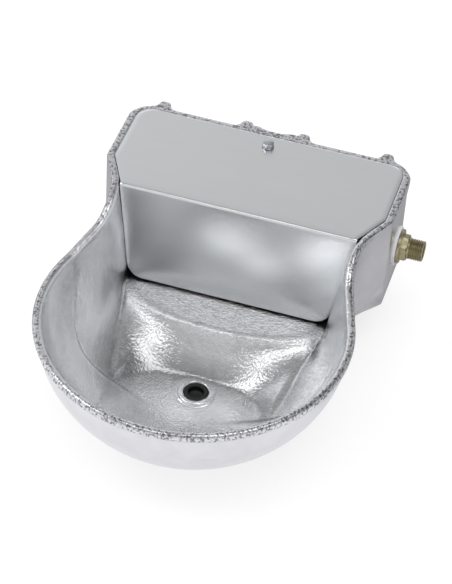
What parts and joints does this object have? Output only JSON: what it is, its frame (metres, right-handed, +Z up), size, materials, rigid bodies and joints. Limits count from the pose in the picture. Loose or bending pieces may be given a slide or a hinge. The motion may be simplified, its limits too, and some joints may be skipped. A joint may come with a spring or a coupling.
{
  "type": "livestock drinking bowl",
  "caption": "Wall-mounted cast basin with a covered float chamber behind it, a threaded water inlet on one side and a rubber drain plug.",
  "frame": {"origin": "on the wall plane behind the bowl, on its centre line, level with the basin's rim", "axes": "+Z up, +Y into the wall, -Y towards the animal, +X towards the water inlet"},
  "size_m": [0.3179, 0.4102, 0.1568],
  "materials": {
    "galvanised_iron": "hot-dip galvanised, fine cast grain",
    "brushed_stainless": "satin",
    "zinc_steel": "zinc plated",
    "brass": "as machined",
    "nylon": "moulded",
    "black_rubber": "matt",
    "acetal": "moulded",
    "float_plastic": "moulded"
  },
  "bodies": {
    "casting": {"bowl_casting": "galvanised_iron", "inlet_nipple": "brass", "outer_washer": "nylon", "inner_gasket": "black_rubber", "lock_nut": "brass", "valve_body": "brass", "valve_nozzle": "acetal", "lever_pin": "zinc_steel", "pin_clip": "zinc_steel"},
    "cover": {"chamber_cover": "brushed_stainless", "cover_washer": "zinc_steel"},
    "screw": {"cover_screw": "zinc_steel"},
    "plug": {"drain_plug": "black_rubber"},
    "piston": {"valve_piston": "acetal", "piston_seal": "black_rubber"},
    "lever": {"float_lever": "brass", "adjusting_screw": "zinc_steel", "adjusting_nut": "zinc_steel", "float_arm": "brass", "arm_nut": "brass", "float": "float_plastic", "float_nut_inner": "brass", "float_nut_outer": "brass"}
  },
  "joints": [
    {"name": "float_hinge", "type": "hinge", "parent": "casting", "child": "lever", "pos_m": [0.0822, -0.0625, -0.045], "axis": [0, 1, 0], "range_deg": [-9, 0]},
    {"name": "piston_slide", "type": "slide", "parent": "casting", "child": "piston", "axis": [1, 0, 0], "range_m": [-0.0019, 0]},
    {"name": "cover_lift", "type": "slide", "parent": "casting", "child": "cover", "axis": [0, 0, 1], "range_m": [0, 0.12]},
    {"name": "cover_screw_out", "type": "slide", "parent": "cover", "child": "screw", "axis": [0, 0, 1], "range_m": [0, 0.03]},
    {"name": "drain_plug_pull", "type": "slide", "parent": "casting", "child": "plug", "axis": [0, 0, 1], "range_m": [0, 0.05]}
  ],
  "couplings": [
    {"joint": "piston_slide", "follows": "float_hinge", "m_per_rad": 0.012}
  ]
}
